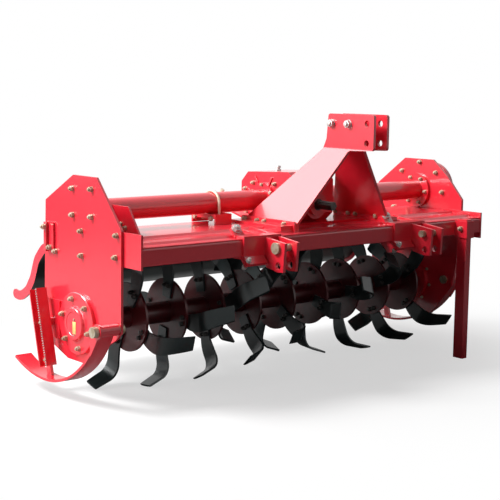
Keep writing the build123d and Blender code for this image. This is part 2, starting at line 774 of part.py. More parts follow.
# ------------------------------------------------------------------ tail board and its hangers
tail_hinge = (tail_hinge_back, tail_hinge_up)
tail_points = [
    tail_hinge,
    (283, 252),
    (338, 197),
    (370, 118),
    (412, 64),
    (tail_fold_back, tail_fold_up),
    (tail_lip_back, tail_lip_up),
]
tail_left = left_inner + tail_side_gap
tail_right = right_inner - tail_side_gap
hanger_pin = polar(tail_hinge, hanger_reach, hanger_pin_angle)
hanger_eye = polar(tail_hinge, hanger_reach, hanger_eye_angle)
hanger_length = math.dist(hanger_pin, hanger_eye)
hanger_ear_half = 12.0
hanger_ear_wall = 6.0
with BuildPart() as tail_board:
    sheet_points = [polar(tail_hinge, 26, 60)] + tail_points[1:]
    sheet = strip(across(tail_left), sheet_points, tail_wall, tail_bend_radius)
    extrude(sheet, amount=tail_right - tail_left)
    for start in (tail_left, tail_right - tail_rib_wall):
        rib = strip(across(start), tail_points, tail_rib_width, tail_bend_radius)
        extrude(rib, amount=tail_rib_wall)
        for end in (tail_hinge, tail_points[-1]):
            extrude(disc(across(start), end, tail_rib_width / 2), amount=tail_rib_wall)
        bore = disc(across(start), tail_hinge, tail_bolt_radius + shaft_gap)
        extrude(bore, amount=tail_rib_wall, mode=Mode.SUBTRACT)
    for side in (-1, 1):
        for start in (-hanger_ear_half - hanger_ear_wall, hanger_ear_half):
            ear_x = side * hanger_across + start
            ear_points = [(284, 251), (337, 198), (358, 232), (330, 252)]
            extrude(outline(across(ear_x), ear_points), amount=hanger_ear_wall)
            extrude(disc(across(ear_x), hanger_pin, 16), amount=hanger_ear_wall)
            bore = disc(across(ear_x), hanger_pin, hanger_pin_radius + shaft_gap)
            extrude(bore, amount=hanger_ear_wall, mode=Mode.SUBTRACT)
tail_board.part.label = "tail_board"
export_step(tail_board.part, "parts/tail_board.step")

# Hinge straps outside the end plates, each with its bolt through to the tail board
strap_wall = 8.0
bolt_head_wall = 7.0
# name, inner face, wall and direction of each side
hinge_sides = (("left", left_inner, plate_wall, -1), ("right", right_inner, case_plate_wall, 1))
for side, inner, wall, sign in hinge_sides:
    with BuildPart() as tail_hinge_strap:
        strap_points = [(168, 248), (222, 248), (222, 366), (168, 366)]
        extrude(outline(across(inner + sign * wall), strap_points, 8), amount=sign * strap_wall)
        head_start = inner - sign * (tail_side_gap + tail_rib_wall + 1)
        bolt_length = wall + tail_side_gap + tail_rib_wall + 1 + strap_wall
        extrude(disc(across(head_start), tail_hinge, tail_bolt_radius), amount=sign * bolt_length)
        extrude(disc(across(head_start), tail_hinge, 15), amount=-sign * bolt_head_wall)
    tail_hinge_strap.part.label = f"tail_hinge_strap_{side}"
    export_step(tail_hinge_strap.part, f"parts/tail_hinge_strap_{side}.step")

# Each hanger rod turns on the tail board's pin and slides through a strap that stands on the hood.
rod_angle = math.degrees(math.atan2(hanger_eye[1] - hanger_pin[1], hanger_eye[0] - hanger_pin[0]))
eye_slot_half = 13.0
strap_half = 25.0
collar_wall = 14.0
with BuildPart() as hanger_straps:
    for side in (-1, 1):
        strap_line = [
            (-20, hood_flat + hanger_strap_wall / 2),
            (60, hood_flat + hanger_strap_wall / 2),
            polar(hanger_eye, -60, rod_angle - 90),
            polar(hanger_eye, 36, rod_angle - 90),
        ]
        start = side * hanger_across - strap_half
        band = strip(across(start), strap_line, hanger_strap_wall)
        extrude(band, amount=2 * strap_half)
    for side in (-1, 1):
        with BuildSketch(facing_along(side * hanger_across, hanger_eye, rod_angle)):
            SlotOverall(2 * eye_slot_half, 2 * (hanger_radius + 1), rotation=90)
        extrude(amount=20, both=True, mode=Mode.SUBTRACT)
hanger_straps.part.label = "hanger_straps"
export_step(hanger_straps.part, "parts/hanger_straps.step")

for side, sign in (("left", -1), ("right", 1)):
    with BuildPart() as hanger_rod:
        boss_half = hanger_ear_half - 1
        boss_x = sign * hanger_across
        extrude(disc(across(boss_x - boss_half), hanger_pin, 15), amount=2 * boss_half)
        pin_half = hanger_ear_half + hanger_ear_wall + 4
        extrude(disc(across(boss_x - pin_half), hanger_pin, hanger_pin_radius), amount=2 * pin_half)
        rod_plane = facing_along(boss_x, hanger_pin, rod_angle)
        with BuildSketch(rod_plane):
            Circle(hanger_radius)
        extrude(amount=hanger_length + 46)
        collar_start = hanger_length + hanger_strap_wall / 2 + 0.5
        with BuildSketch(rod_plane.offset(collar_start)):
            Circle(18)
        extrude(amount=collar_wall)
    hanger_rod.part.label = f"hanger_rod_{side}"
    export_step(hanger_rod.part, f"parts/hanger_rod_{side}.step")

# ------------------------------------------------------------------ skids and their adjusters
web_start = skid_gap + 6
web_end = web_start + adjuster_wall
clamp_bolt_radius = 8.0
# name, outer face of the wall, direction and shift of each skid
skid_sides = (("left", left_outer, -1, 0.0), ("right", case_face, 1, right_skid_shift))
for side, face, sign, shift in skid_sides:
    pivot = (skid_pivot_back + shift, skid_pivot_up)
    pin = (pivot[0] + adjuster_pin_behind, pivot[1] - adjuster_pin_below)
    arm = math.dist(pivot, pin)
    pin_angle = math.degrees(math.atan2(pin[1] - pivot[1], pin[0] - pivot[0]))
    clamp_place = polar(pivot, arm, pin_angle + clamp_turn)
    lean = math.degrees(math.atan2(clamp_place[1] - pin[1], clamp_place[0] - pin[0]))

    with BuildPart() as skid:
        with BuildSketch(across(face + sign * skid_gap)):
            with BuildLine():
                toe = (pivot[0] + 2, pivot[1] - 20)
                curl = (pivot[0] + 150, pivot[1] - 180)
                sole = (pivot[0] + 380, pivot[1] - 241)
                heel = (pivot[0] + 582, pivot[1] - 192)
                front_arc = ThreePointArc(toe, curl, sole)
                TangentArc(front_arc @ 1, heel, tangent=front_arc % 1)
            trace(line_width=skid_wall)
        extrude(amount=sign * skid_width)
        tube = disc(across(face + sign * 4), pivot, 22)
        extrude(tube, amount=sign * (skid_gap + skid_width - 4))
        ear_start = face + sign * (skid_gap + skid_width - skid_ear_wall)
        extrude(disc(across(ear_start), pivot, 28), amount=sign * skid_ear_wall)
        ear_points = [
            (pivot[0] - 27, pivot[1] + 4),
            (pivot[0] - 2, pivot[1] - 32),
            (pivot[0] + 42, pivot[1] - 98),
            (pivot[0] + 46, pivot[1] - 50),
            (pivot[0] + 27, pivot[1] + 6),
        ]
        extrude(outline(across(ear_start), ear_points), amount=sign * skid_ear_wall)
        lug_start = face + sign * (web_end + 4)
        lug_foot = polar(pin, -62, lean)
        extrude(strip(across(lug_start), [pin, lug_foot], 30), amount=sign * 12)
        extrude(disc(across(lug_start), pin, 17), amount=sign * 12)
        bore = disc(across(face), pivot, skid_bolt_radius + shaft_gap)
        extrude(bore, amount=sign * (skid_gap + skid_width + 10), mode=Mode.SUBTRACT)
        bore = disc(across(lug_start), pin, adjuster_pin_radius + shaft_gap)
        extrude(bore, amount=sign * 12, mode=Mode.SUBTRACT)
    skid.part.label = f"skid_{side}"
    export_step(skid.part, f"parts/skid_{side}.step")

    with BuildPart() as adjuster:
        adjuster_mid = ((adjuster_above - adjuster_below) / 2, 0)
        adjuster_length = adjuster_above + adjuster_below
        with BuildSketch(along(face + sign * web_start, pin, lean)):
            with Locations(adjuster_mid):
                Rectangle(adjuster_length, adjuster_width)
        extrude(amount=sign * adjuster_depth)
        with BuildSketch(along(face + sign * web_end, pin, lean)):
            with Locations(adjuster_mid):
                Rectangle(adjuster_length, adjuster_width - 2 * adjuster_wall)
        extrude(amount=sign * adjuster_depth, mode=Mode.SUBTRACT)
        with BuildSketch(along(face + sign * web_start, pin, lean)):
            with Locations((152, 0)):
                SlotOverall(205, 2 * clamp_bolt_radius + 6)
        extrude(amount=sign * adjuster_wall, mode=Mode.SUBTRACT)
        with BuildSketch(along(face + sign * web_start, pin, lean)):
            Circle(adjuster_pin_radius)
        extrude(amount=sign * (adjuster_wall + 4 + 12 + 4))
        with BuildSketch(along(face + sign * (web_end + 17), pin, lean)):
            Circle(14)
        extrude(amount=sign * 8)
    adjuster.part.label = f"skid_adjuster_{side}"
    export_step(adjuster.part, f"parts/skid_adjuster_{side}.step")

    with BuildPart() as skid_clamp:
        strap_points = [
            (clamp_place[0] - 60, clamp_place[1] - 60),
            (clamp_place[0] + 25, clamp_place[1] - 60),
            (clamp_place[0] + 25, clamp_place[1] + 90),
            (clamp_place[0] - 60, clamp_place[1] + 90),
        ]
        extrude(outline(across(face), strap_points, 6), amount=sign * strap_wall)
        spacer = disc(across(face + sign * strap_wall), clamp_place, 16)
        extrude(spacer, amount=sign * (web_start - 1 - strap_wall))
        extrude(disc(across(face), clamp_place, clamp_bolt_radius), amount=sign * (web_end + 16))
        extrude(disc(across(face + sign * (web_end + 1)), clamp_place, 17), amount=sign * 4)
        extrude(disc(across(face + sign * (web_end + 1)), clamp_place, 13), amount=sign * 13)
    skid_clamp.part.label = f"skid_clamp_{side}"
    export_step(skid_clamp.part, f"parts/skid_clamp_{side}.step")

# outer face, wall, direction and shift of each skid bolt
bolt_rows = (
    (left_outer, plate_wall, -1, 0.0),
    (case_face, case_plate_wall, 1, right_skid_shift),
)
with BuildPart() as skid_bolts:
    for face, wall, sign, shift in bolt_rows:
        pivot = (skid_pivot_back + shift, skid_pivot_up)
        outer = skid_gap + skid_width + 0.5
        inner_end = face - sign * (wall + 10)
        shank = disc(across(inner_end), pivot, skid_bolt_radius)
        extrude(shank, amount=sign * (wall + 10 + outer))
        extrude(disc(across(inner_end), pivot, 19), amount=sign * 10)
        extrude(disc(across(face + sign * outer), pivot, 20), amount=sign * (skid_reach - outer))
        extrude(disc(across(face), pivot, 19), amount=sign * 3)
skid_bolts.part.label = "skid_bolts"
export_step(skid_bolts.part, "parts/skid_bolts.step")

# ------------------------------------------------------------------ parking leg
leg_gap = 0.5
leg_back = beam_front - socket_wall - leg_gap - leg_depth / 2
socket_low = beam_bottom - 8
socket_high = beam_top + 2
with BuildPart() as leg_socket:
    with BuildSketch(facing_up(socket_low)):
        with Locations((leg_across, leg_back)):
            socket_add = 2 * (leg_gap + socket_wall)
            Rectangle(leg_width + socket_add, leg_depth + socket_add)
            Rectangle(leg_width + 2 * leg_gap, leg_depth + 2 * leg_gap, mode=Mode.SUBTRACT)
    extrude(amount=socket_high - socket_low)
leg_socket.part.label = "leg_socket"
export_step(leg_socket.part, "parts/leg_socket.step")

with BuildPart() as parking_leg:
    with BuildSketch(facing_up(-z_axis)):
        with Locations((leg_across, leg_back)):
            RectangleRounded(leg_width, leg_depth, 5)
    extrude(amount=z_axis + leg_top)
    with BuildSketch(facing_up(-z_axis + 8)):
        with Locations((leg_across, leg_back)):
            Rectangle(leg_width - 2 * leg_wall, leg_depth - 2 * leg_wall)
    extrude(amount=z_axis + leg_top, mode=Mode.SUBTRACT)
parking_leg.part.label = "parking_leg"
export_step(parking_leg.part, "parts/parking_leg.step")
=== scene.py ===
# %% [markdown]
# A side-driven rotary tiller: a bladed rotor under a red hood, carried on a tractor's three-point
# hitch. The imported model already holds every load-bearing piece, so this lesson adds the camera,
# the light, the finishes and the small hardware, and never moves what the model gives.

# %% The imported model
import math
import bmesh
import bpy
from mathutils import Matrix, Vector


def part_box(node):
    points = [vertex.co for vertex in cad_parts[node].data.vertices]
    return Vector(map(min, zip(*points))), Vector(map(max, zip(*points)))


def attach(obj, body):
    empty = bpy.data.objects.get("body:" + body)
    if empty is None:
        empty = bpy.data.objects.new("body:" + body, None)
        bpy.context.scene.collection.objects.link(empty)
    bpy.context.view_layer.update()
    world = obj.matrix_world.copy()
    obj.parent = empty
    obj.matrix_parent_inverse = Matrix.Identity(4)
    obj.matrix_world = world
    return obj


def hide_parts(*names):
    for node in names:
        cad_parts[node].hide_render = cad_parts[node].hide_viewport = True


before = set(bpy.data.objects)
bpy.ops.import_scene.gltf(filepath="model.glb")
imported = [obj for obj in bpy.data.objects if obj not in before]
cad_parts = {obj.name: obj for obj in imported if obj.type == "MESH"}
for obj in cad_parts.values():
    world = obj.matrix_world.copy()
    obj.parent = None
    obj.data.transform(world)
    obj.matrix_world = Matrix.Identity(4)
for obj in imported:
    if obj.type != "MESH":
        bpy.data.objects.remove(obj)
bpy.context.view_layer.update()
MM = 0.001

# %% [markdown]
# The hardware's places are easiest to think of from the machine's own middle: across from the
# hitch's centre line, and back and up from the rotor's axis, in millimetres. Both lines are read
# from the imported pieces, as are the sides of the end plates, the mast's feet and the skids'
# adjusters. The other places are given as numbers.

# %% Places on the machine
spacer_low, spacer_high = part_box("mast_spacers")
shaft_low, shaft_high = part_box("rotor_shaft")
MIDDLE = (shaft_low + shaft_high) / 2
MIDDLE.x = (spacer_low.x + spacer_high.x) / 2


def at(across, back, up):
    """A place in metres, from millimetres across, back and up."""
    return MIDDLE + Vector((across, back, up)) * MM


def edge(node, axis, end):
    """Where a node's box begins (end 0) or ends (end 1), in the same millimetres."""
    return ((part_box(node)[end] - MIDDLE)[axis]) / MM


plate_out = edge("side_plate_left", 0, 0)
plate_in = edge("side_plate_left", 0, 1)
case_in = edge("gear_case_plate", 0, 0)
cover_out = edge("gear_case_housing", 0, 1) + 6
print("end plates from", round(plate_out), "to", round(case_in))

# %% [markdown]
# The machine is nearly two metres wide and stands before a long lens. The camera looks down a
# little from the front left corner, so the near end plate is large and the gear case is small.
# A camera is easier to keep as yaw, pitch and roll than as a rotation matrix, so the matrix is
# worked out from the three angles.

# %% The camera
LENS_MM = 86.89
SENSOR_MM = 36.0
CAMERA_PLACE = Vector((-3.3117, -3.7839, 1.1731))
CAMERA_YAW = math.radians(39.97)  # from straight ahead towards +X
CAMERA_PITCH = math.radians(-7.39)
CAMERA_ROLL = math.radians(0.82)

look = Vector((
    math.sin(CAMERA_YAW) * math.cos(CAMERA_PITCH),
    math.cos(CAMERA_YAW) * math.cos(CAMERA_PITCH),
    math.sin(CAMERA_PITCH),
))
level_right = Vector((math.cos(CAMERA_YAW), -math.sin(CAMERA_YAW), 0))
level_up = level_right.cross(look)
right = level_right * math.cos(CAMERA_ROLL) + level_up * math.sin(CAMERA_ROLL)
up = right.cross(look)
camera_data = bpy.data.cameras.new("camera")
camera_data.lens = LENS_MM
camera_data.sensor_width = SENSOR_MM
camera_data.shift_x = 0.0102
camera_data.shift_y = -0.0155
camera = bpy.data.objects.new("camera", camera_data)
camera.matrix_world = Matrix((
    (right.x, up.x, -look.x, CAMERA_PLACE.x),
    (right.y, up.y, -look.y, CAMERA_PLACE.y),
    (right.z, up.z, -look.z, CAMERA_PLACE.z),
    (0, 0, 0, 1),
))
bpy.context.scene.collection.objects.link(camera)
bpy.context.scene.camera = camera
bpy.context.scene.view_settings.view_transform = "Standard"
print("camera:", tuple(round(c, 3) for c in camera.location))

# %% [markdown]
# Shader maths reads best as plain expressions. A Wire wraps one output socket and gives it the
# arithmetic signs, each of which adds a Math node. A Finish holds one material's nodes, and its
# node() adds any other kind: its settings first, then the values or wires of its inputs.

# %% Wires and finishes
class Wire:
    """One number socket of a finish. Arithmetic on it adds Math nodes."""

    def __init__(self, finish, socket):
        self.finish = finish
        self.socket = socket

    def math(self, operation, first, second):
        return self.finish.node("Math", {"operation": operation}, {0: first, 1: second})

    def __add__(self, other):
        return self.math("ADD", self, other)

    def __radd__(self, other):
        return self.math("ADD", other, self)

    def __sub__(self, other):
        return self.math("SUBTRACT", self, other)

    def __rsub__(self, other):
        return self.math("SUBTRACT", other, self)

    def __mul__(self, other):
        return self.math("MULTIPLY", self, other)

    def __rmul__(self, other):
        return self.math("MULTIPLY", other, self)


class Finish:
    """A material in the making."""

    def __init__(self, name):
        self.material = bpy.data.materials.new(name)
        self.material.use_nodes = True
        self.tree = self.material.node_tree
        self.tree.nodes.clear()

    def node(self, kind, settings=None, inputs=None, output=0):
        """Adds a node and returns the wire of one of its outputs."""
        made = self.tree.nodes.new("ShaderNode" + kind)
        for key, value in (settings or {}).items():
            setattr(made, key, value)
        for key, value in (inputs or {}).items():
            if isinstance(value, Wire):
                self.tree.links.new(value.socket, made.inputs[key])
            else:
                made.inputs[key].default_value = value
        if made.outputs:
            return Wire(self, made.outputs[output])
        return None

    def place(self):
        """Where a point is on the object, in metres."""
        return self.node("TexCoord", output="Object")

    def noise(self, scale, detail=3.0, roughness=0.5, stretch=(1, 1, 1)):
        """Soft random grey; scale counts its lumps in a metre."""
        stretched = self.node("Mapping", inputs={"Vector": self.place(), "Scale": stretch})
        inputs = {"Vector": stretched, "Scale": scale, "Detail": detail, "Roughness": roughness}
        return self.node("TexNoise", inputs=inputs)

    def step(self, wire, low, high):
        """0 below low, 1 above high and a smooth ramp between."""
        settings = {"interpolation_type": "SMOOTHSTEP"}
        inputs = {"Value": wire, "From Min": low, "From Max": high}
        return self.node("MapRange", settings, inputs)

    def mix(self, share, first, second):
        """Blends two colours."""
        return self.node("Mix", {"data_type": "RGBA"}, {0: share, 6: first, 7: second}, output=2)

    def facing(self, axis):
        """How far the surface faces along an axis, from -1 to 1."""
        normal = self.node("NewGeometry", output="Normal")
        return self.node("SeparateXYZ", inputs={0: normal}, output="XYZ".index(axis))

    def done(self, **sockets):
        """Wires the surface shader and returns the material."""
        inputs = {key.replace("_", " "): value for key, value in sockets.items()}
        surface = self.node("BsdfPrincipled", inputs=inputs)
        self.node("OutputMaterial", inputs={"Surface": surface})
        return self.material


def rgb(red, green, blue):
    return (red, green, blue, 1.0)


# %% [markdown]
# The machine is sprayed in one coat of glossy red enamel. Such paint is not one flat colour: it
# is thinner and duller in places, carries a few dull specks and has a slight orange-peel ripple
# that breaks up its reflections. A clear coat layer gives the wet gloss over the softer base. The
# hood's faces that turn downwards are painted nearly black and lose their gloss, as painted shade,
# with a faint green that is a painted reflection. The rotor is the same red painted much darker,
# as painted shade under the hood.

# %% Red enamel
def red_enamel(name, tone, shade, painted_shade_below=False, coat=0.9):
    paint = Finish(name)
    cloud = paint.noise(3.0, detail=4.0)
    fine = paint.noise(60.0, detail=4.0, roughness=0.6)
    blend = paint.step(cloud * 0.7 + fine * 0.3, 0.35, 0.65)
    colour = paint.mix(blend, shade, tone)
    speck = paint.step(paint.noise(420.0, detail=2.0), 0.70, 0.76)
    colour = paint.mix(speck * 0.25, colour, rgb(0.30, 0.10, 0.09))
    gloss = coat
    # Painted shade: faces turned downwards get a near-black colour with a green painted reflection,
    # and lose their coat's gloss.
    if painted_shade_below:
        above = paint.step(paint.facing("Z"), -0.25, -0.05)
        colour = paint.mix(above, rgb(0.008, 0.020, 0.016), colour)
        gloss = above * coat
    ripple = paint.noise(180.0, detail=1.0)
    wave = paint.noise(9.0, detail=2.0)
    rounded = paint.node("Bevel", {"samples": 4}, {"Radius": 1.5 * MM})
    bumped = paint.node("Bump", inputs={
        "Height": ripple + wave * 6.0, "Distance": 0.00035, "Strength": 0.35, "Normal": rounded,
    })
    return paint.done(
        Base_Color=colour,
        Roughness=0.30 + fine * 0.14,
        Coat_Weight=gloss,
        Coat_Roughness=0.14,
        Normal=bumped,
    )


red_paint = red_enamel("red_enamel", rgb(0.78, 0.014, 0.034), rgb(0.70, 0.010, 0.028))
hood_paint = red_enamel("hood_enamel", rgb(0.78, 0.018, 0.042), rgb(0.70, 0.014, 0.036), True)
# Painted shade: the rotor is the machine's red made far darker and nearly without gloss, standing
# for the shade under the hood.
rotor_shade_paint = red_enamel(
    "rotor_shaded_enamel", rgb(0.11, 0.006, 0.010), rgb(0.05, 0.008, 0.008), coat=0.15,
)
print("red finishes made")

# %% [markdown]
# Blades are sprung steel, dipped in a thin near-black lacquer that soil scours off in patches; the
# lacquer's green tint is a painted reflection. Two sizes of noise, one for the patches and one for
# their ragged edges, give the scoured places.

# %% Blade lacquer
def blade_lacquer():
    paint = Finish("blade_lacquer")
    cloud = paint.noise(7.0, detail=5.0, roughness=0.6)
    fine = paint.noise(90.0, detail=3.0, roughness=0.6)
    # The near-black is the lacquer's own; the green in these two colours is painted reflection.
    colour = paint.mix(cloud, rgb(0.008, 0.018, 0.015), rgb(0.018, 0.030, 0.034))
    scour = paint.step(cloud * 0.6 + fine * 0.4, 0.54, 0.66)
    colour = paint.mix(scour * 0.35, colour, rgb(0.07, 0.075, 0.09))
    rounded = paint.node("Bevel", {"samples": 4}, {"Radius": 1.5 * MM})
    bumped = paint.node("Bump", inputs={
        "Height": fine, "Distance": 0.0004, "Strength": 0.3, "Normal": rounded,
    })
    return paint.done(
        Base_Color=colour,
        Roughness=0.34 + scour * 0.2,
        Metallic=0.1 + scour * 0.3,
        Coat_Weight=0.15,
        Coat_Roughness=0.1,
        Normal=bumped,
    )


blade_paint = blade_lacquer()

# %% [markdown]
# Most bolts and nuts are plated in yellow zinc, which weathers to a warm grey-brown with a dull
# grain. The larger ones on the hitch and mast are silver zinc, the U-bolts and hanger rods a paler
# cream. The splined input shaft and the blades' bolts are dark steel under a film of grease.

# %% Plated and bare steel
def plated(name, tone, tint, roughness):
    metal = Finish(name)
    cloud = metal.noise(35.0, detail=3.0)
    fine = metal.noise(500.0, detail=2.0)
    colour = metal.mix(metal.step(cloud, 0.4, 0.62), tone, tint)
    rounded = metal.node("Bevel", {"samples": 4}, {"Radius": 0.8 * MM})
    bumped = metal.node("Bump", inputs={
        "Height": fine, "Distance": 0.0002, "Strength": 0.3, "Normal": rounded,
    })
    return metal.done(
        Base_Color=colour, Roughness=roughness + fine * 0.15, Metallic=0.45, Normal=bumped,
    )


yellow_zinc = plated("yellow_zinc", rgb(0.34, 0.27, 0.18), rgb(0.48, 0.42, 0.32), 0.36)
silver_zinc = plated("silver_zinc", rgb(0.42, 0.40, 0.38), rgb(0.60, 0.58, 0.56), 0.30)
cream_zinc = plated("cream_zinc", rgb(0.66, 0.56, 0.42), rgb(0.74, 0.66, 0.52), 0.36)
brass = plated("brass", rgb(0.86, 0.66, 0.22), rgb(0.90, 0.72, 0.30), 0.35)
dark_steel = plated("dark_steel", rgb(0.035, 0.034, 0.032), rgb(0.07, 0.065, 0.06), 0.40)

finishes = {
    "rotor_shaft": rotor_shade_paint,
    "rotor_discs": rotor_shade_paint,
    "blades_left": blade_paint,
    "blades_right": blade_paint,
    "hood": hood_paint,
    "tail_board": hood_paint,
    "u_bolts": cream_zinc,
    "hitch_pins": yellow_zinc,
    "skid_bolts": yellow_zinc,
    "mast_spacers": silver_zinc,
    "hanger_rod_left": cream_zinc,
    "hanger_rod_right": cream_zinc,
    "input_shaft": dark_steel,
}
for name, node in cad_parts.items():
    node.data.materials.clear()
    node.data.materials.append(finishes.get(name, red_paint))
print("finishes laid on", len(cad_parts), "nodes")

# %% [markdown]
# Everything bolted on a machine like this is held by a handful of fasteners: hex bolts, nuts with
# the thread's end standing out, and a few plugs. Each kind is made once, standing on z = 0, from
# round and six-sided cones whose rims are bevelled, and then copied to its places. Copies of one
# mesh cost nothing to change: a new size changes every bolt of its kind.

# %% Turned forms and fasteners
def turned(kit, sides, radius, low, high, chamfer=0.0, top_radius=None):
    """Adds a round or many-sided bar along Z in millimetres, its upper rim chamfered."""
    made = bmesh.ops.create_cone(
        kit,
        cap_ends=True,
        segments=sides,
        radius1=radius * MM,
        radius2=(top_radius or radius) * MM,
        depth=(high - low) * MM,
        matrix=Matrix.Translation((0, 0, (low + high) / 2 * MM)),
    )
    if chamfer:
        top = (high - 0.01) * MM
        rim = {line for vertex in made["verts"] for line in vertex.link_edges}
        rim = [line for line in rim if all(vertex.co.z > top for vertex in line.verts)]
        bmesh.ops.bevel(
            kit, geom=rim, offset=chamfer * MM, affect="EDGES", segments=2, profile=0.5,
            material=-1,
        )


def kept(kit, name):
    mesh = bpy.data.meshes.new(name)
    bmesh.ops.recalc_face_normals(kit, faces=kit.faces)
    kit.to_mesh(mesh)
    kit.free()
    return mesh


def fastener(flats, height, washer, thread):
    """A hex head or nut on its washer; thread is how far the bolt's end stands out of it."""
    kit = bmesh.new()
    turned(kit, 24, washer, 0, 2.5, 0.6)
    turned(kit, 6, flats / math.sqrt(3), 2.5, 2.5 + height, 1.6)
    if thread:
        turned(kit, 16, flats * 0.32, 2.5 + height, 2.5 + height + thread, 1.2)
    return kept(kit, "fastener")


NUT = fastener(18, 10, 10.5, 6)
SMALL_HEAD = fastener(16, 8, 9.5, 0)
SMALL_NUT = fastener(15, 9, 9, 5)
TINY_HEAD = fastener(12, 5, 7.5, 0)
BIG_NUT = fastener(28, 13, 17, 7)


def stand(place, out, turn=0.0):
    """The matrix that takes a form from Z at the origin to a place, facing out."""
    faced = Vector(out).to_track_quat("Z", "Y").to_matrix().to_4x4()
    return Matrix.Translation(place) @ faced @ Matrix.Rotation(turn, 4, "Z")


def add_copy(kit, form, matrix):
    """Adds a copy of a mesh to a kit, moved by a matrix."""
    before = len(kit.verts)
    kit.from_mesh(form)
    kit.verts.ensure_lookup_table()
    bmesh.ops.transform(kit, matrix=matrix, verts=kit.verts[before:])


def lay(name, kit, body, material):
    """Makes a kit of faces into a piece that rides on a body."""
    mesh = kept(kit, name)
    mesh.materials.append(material)
    mesh.shade_smooth()
    mesh.set_sharp_from_angle(angle=math.radians(32))
    piece = bpy.data.objects.new(name, mesh)
    bpy.context.scene.collection.objects.link(piece)
    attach(piece, body)
    print(name, len(mesh.polygons), "faces on", body)
    return piece


def bolt_set(name, form, out, places, body="frame", material=yellow_zinc):
    """One piece with a fastener at each place, each turned a little further than the last."""
    kit = bmesh.new()
    for index, place in enumerate(places):
        add_copy(kit, form, stand(at(*place), out, index * 0.7))
    return lay(name, kit, body, material)


def ring(across, back, up, radius, count, start=0.0):
    """Places evenly round a circle on a plane that faces across."""
    turns = [math.radians(start) + index * 2 * math.pi / count for index in range(count)]
    return [
        (across, back + radius * math.cos(turn), up + radius * math.sin(turn)) for turn in turns
    ]


# %% [markdown]
# The end plates carry the most bolts in view. Four hold the cross tube's flange, two the beam's
# bracket, and the rest the hood and its stiffeners. Where a bolt goes right through, its nut is on
# the far face, so the machine is also whole from behind.

# %% Bolts of the end plates
FLANGE_WALL = 14
BRACKET_WALL = 8
# back and up of each bolt: four of the tube's flange, three of the hood, two of the bracket
left_plate_bolts = (
    (40, 504), (-90, 510), (38, 405), (-90, 409), (-20, 350), (-22, 258), (161, 254),
    (-254, 357), (-247, 277),
)
case_plate_bolts = (
    (93, 505), (-15, 551), (-115, 507), (-156, 420), (-160, 330), (150, 420), (140, 330),
)
bolt_set("plate_bolts_left", NUT, (-1, 0, 0), [(plate_out, *spot) for spot in left_plate_bolts])
bolt_set("tube_flange_nuts_left", SMALL_HEAD, (1, 0, 0), [
    (plate_in + FLANGE_WALL, *spot) for spot in left_plate_bolts[:4]
])
bolt_set("bracket_nuts_left", SMALL_HEAD, (1, 0, 0), [
    (plate_in + BRACKET_WALL, *spot) for spot in left_plate_bolts[7:]
])
bolt_set("plate_bolts_right", NUT, (-1, 0, 0), [(case_in, *spot) for spot in case_plate_bolts])
bolt_set("bracket_bolts_right", NUT, (-1, 0, 0), [
    (case_in - BRACKET_WALL, -227, 313), (case_in - BRACKET_WALL, -300, 262),
])
TUBE_BACK = -2  # the cross tubes' axis
TUBE_UP = 421
TUBE_BOLT_RING = 63
bolt_set("tube_flange_bolts_right", SMALL_NUT, (-1, 0, 0), (
    ring(case_in - FLANGE_WALL, TUBE_BACK, TUBE_UP, TUBE_BOLT_RING, 6, 4)
))

# %% [markdown]
# The rotor's left bearing sits in a round cast flange with six bolts and a raised cap. It is a
# turned part, so one profile is drawn from the axis outwards and spun all the way round. A small
# blank brass plate is riveted to the cap.

# %% Left bearing flange
def spun(profile, across):
    """Spins points given as (out to the left, radius) round the rotor's axis."""
    kit = bmesh.new()
    corners = [kit.verts.new(at(across - out, 0, radius)) for out, radius in profile]
    line = [kit.edges.new(pair) for pair in zip(corners, corners[1:])]
    bmesh.ops.spin(
        kit, geom=corners + line, cent=at(across, 0, 0), axis=(1, 0, 0), angle=2 * math.pi,
        steps=64, use_merge=True, use_duplicate=False,
    )
    bmesh.ops.remove_doubles(kit, verts=kit.verts, dist=0.02 * MM)
    return kit


bearing_wall = 14
cap_proud = 13
flange_profile = (
    (0, 30.1), (0, 118), (bearing_wall - 2, 118), (bearing_wall, 116), (bearing_wall, 69),
    (bearing_wall + 2, 66), (bearing_wall + 3, 64), (bearing_wall + cap_proud - 3, 62),
    (bearing_wall + cap_proud, 59), (bearing_wall + cap_proud, 46),
    (bearing_wall + cap_proud - 2, 44), (bearing_wall + cap_proud - 2, 0),
)
kit = spun(flange_profile + ((2, 0), (2, 30.1), (0, 30.1)), plate_out)
flange = lay("bearing_flange_left", kit, "frame", red_paint)
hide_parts("rotor_bearing_left")
bolt_set("bearing_bolts_left", NUT, (-1, 0, 0), ring(plate_out - bearing_wall, 0, 0, 94, 6, 15))
bolt_set("bearing_bolts_right", TINY_HEAD, (-1, 0, 0), ring(case_in, 0, 0, 98, 8, 10))


def slab(kit, corner_low, corner_high, chamfer=1.0):
    """Adds a block between two corners in the machine's millimetres, its edges eased."""
    low, high = at(*corner_low), at(*corner_high)
    size = high - low
    scale = Matrix.Diagonal((size.x, size.y, size.z, 1))
    made = bmesh.ops.create_cube(kit, size=1, matrix=Matrix.Translation((low + high) / 2) @ scale)
    lines = {line for vertex in made["verts"] for line in vertex.link_edges}
    bmesh.ops.bevel(
        kit, geom=list(lines), offset=chamfer * MM, affect="EDGES", segments=2, profile=0.5,
        material=-1,
    )


cap_face = plate_out - bearing_wall - cap_proud + 2
kit = bmesh.new()
slab(kit, (cap_face - 1.6, -19, -37), (cap_face, 3, 9), 0.6)
lay("hub_plate", kit, "frame", brass)
kit = bmesh.new()
rivet = bmesh.new()
turned(rivet, 16, 4.5, 0, 3, 1.2)
rivet = kept(rivet, "rivet")
for up in (17, -44):
    add_copy(kit, rivet, stand(at(cap_face, -7, up), (-1, 0, 0)))
lay("hub_rivets", kit, "frame", yellow_zinc)

# %% [markdown]
# The mast is bolted to its two feet, and its two head plates are clamped over spacers by large
# bolts. Smaller ones hold the stands that carry the cross tubes.

